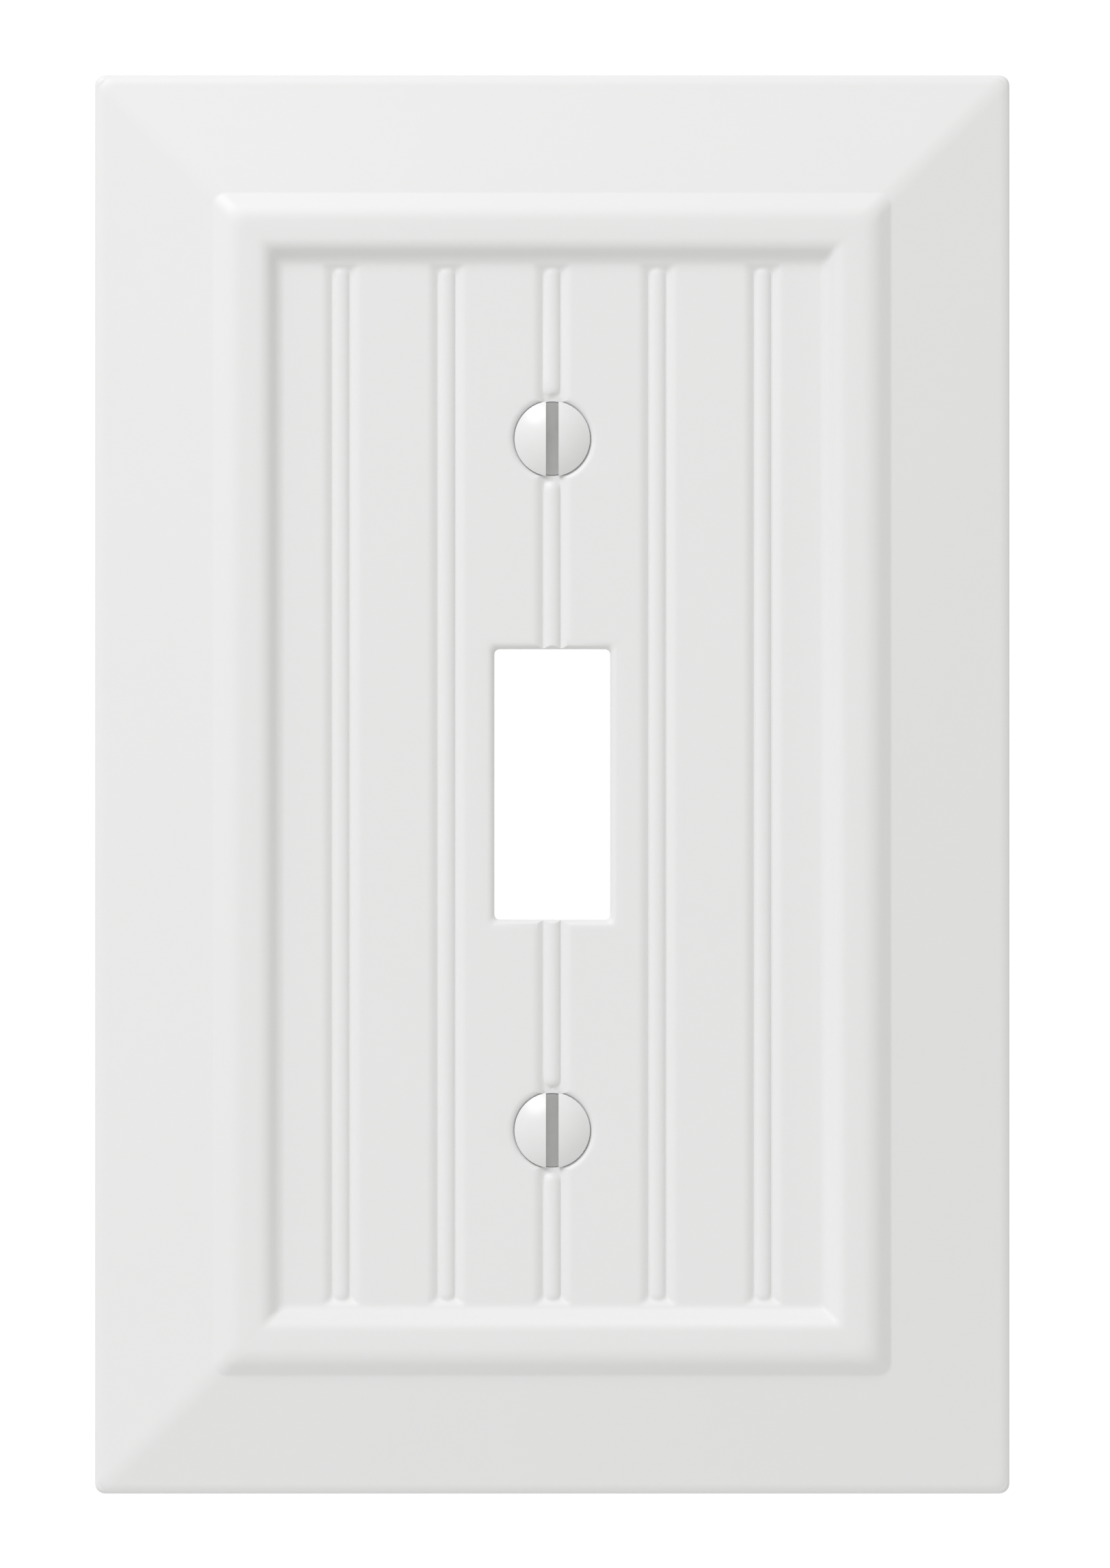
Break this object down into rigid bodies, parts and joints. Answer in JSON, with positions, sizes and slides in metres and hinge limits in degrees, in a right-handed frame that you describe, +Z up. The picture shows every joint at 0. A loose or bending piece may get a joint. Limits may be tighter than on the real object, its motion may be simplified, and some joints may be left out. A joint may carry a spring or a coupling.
{
  "type": "wall plate cover",
  "caption": "Upright wall cover plate for a toggle switch: moulded border, sunk beaded panel, central opening, recess behind, slotted oval-head screws.",
  "frame": {"origin": "centre of the back face, in the plane of the wall", "axes": "+Z up the wall, +Y into the wall, so the front faces -Y and +X is to the right seen from the front"},
  "size_m": [0.0798, 0.027, 0.1238],
  "materials": {
    "painted_board": "smooth board with sprayed white semi-gloss paint",
    "screw": "white painted head on a zinc plated steel shank"
  },
  "bodies": {
    "cover": {"cover_plate": "painted_board"},
    "upper_screw": {"upper_screw": "screw"},
    "lower_screw": {"lower_screw": "screw"}
  },
  "joints": [
    {"name": "upper_screw_out", "type": "slide", "parent": "cover", "child": "upper_screw", "axis": [0, -1, 0], "range_m": [0, 0.03]},
    {"name": "lower_screw_out", "type": "slide", "parent": "cover", "child": "lower_screw", "axis": [0, -1, 0], "range_m": [0, 0.03]}
  ]
}
